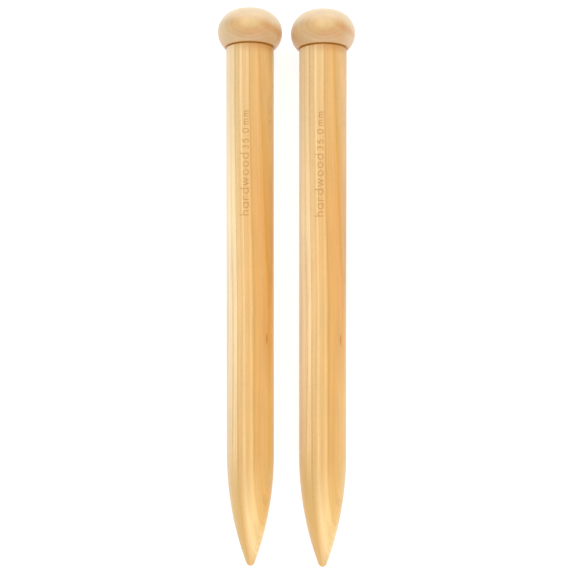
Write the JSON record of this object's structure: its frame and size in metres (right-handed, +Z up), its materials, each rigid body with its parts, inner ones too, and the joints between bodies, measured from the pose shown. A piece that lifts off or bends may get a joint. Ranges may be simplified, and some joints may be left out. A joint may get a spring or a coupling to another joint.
{
  "type": "straight knitting needles",
  "caption": "Jumbo straight knitting needles in turned wood: long round shafts with tapered, rounded points, and mushroom knobs that stop the stitches from sliding off.",
  "frame": {"origin": "On the table that the needles lie on, under the centre of the pair.", "axes": "+Y from the points to the knobs, +X from the left needle to the right one, +Z up from the table."},
  "size_m": [0.101, 0.4122, 0.0474],
  "materials": {
    "shaft_wood": "clear satin lacquer",
    "knob_wood": "clear satin lacquer",
    "dowel_wood": "bare, fluted"
  },
  "bodies": {
    "left_needle": {"left_shaft": "shaft_wood", "left_knob": "knob_wood", "left_dowel_pin": "dowel_wood"},
    "right_needle": {"right_shaft": "shaft_wood", "right_knob": "knob_wood", "right_dowel_pin": "dowel_wood"}
  },
  "joints": [
    {"name": "right_needle_lift", "type": "slide", "parent": "left_needle", "child": "right_needle", "axis": [0, 0, 1], "range_m": [0, 0.15]}
  ]
}
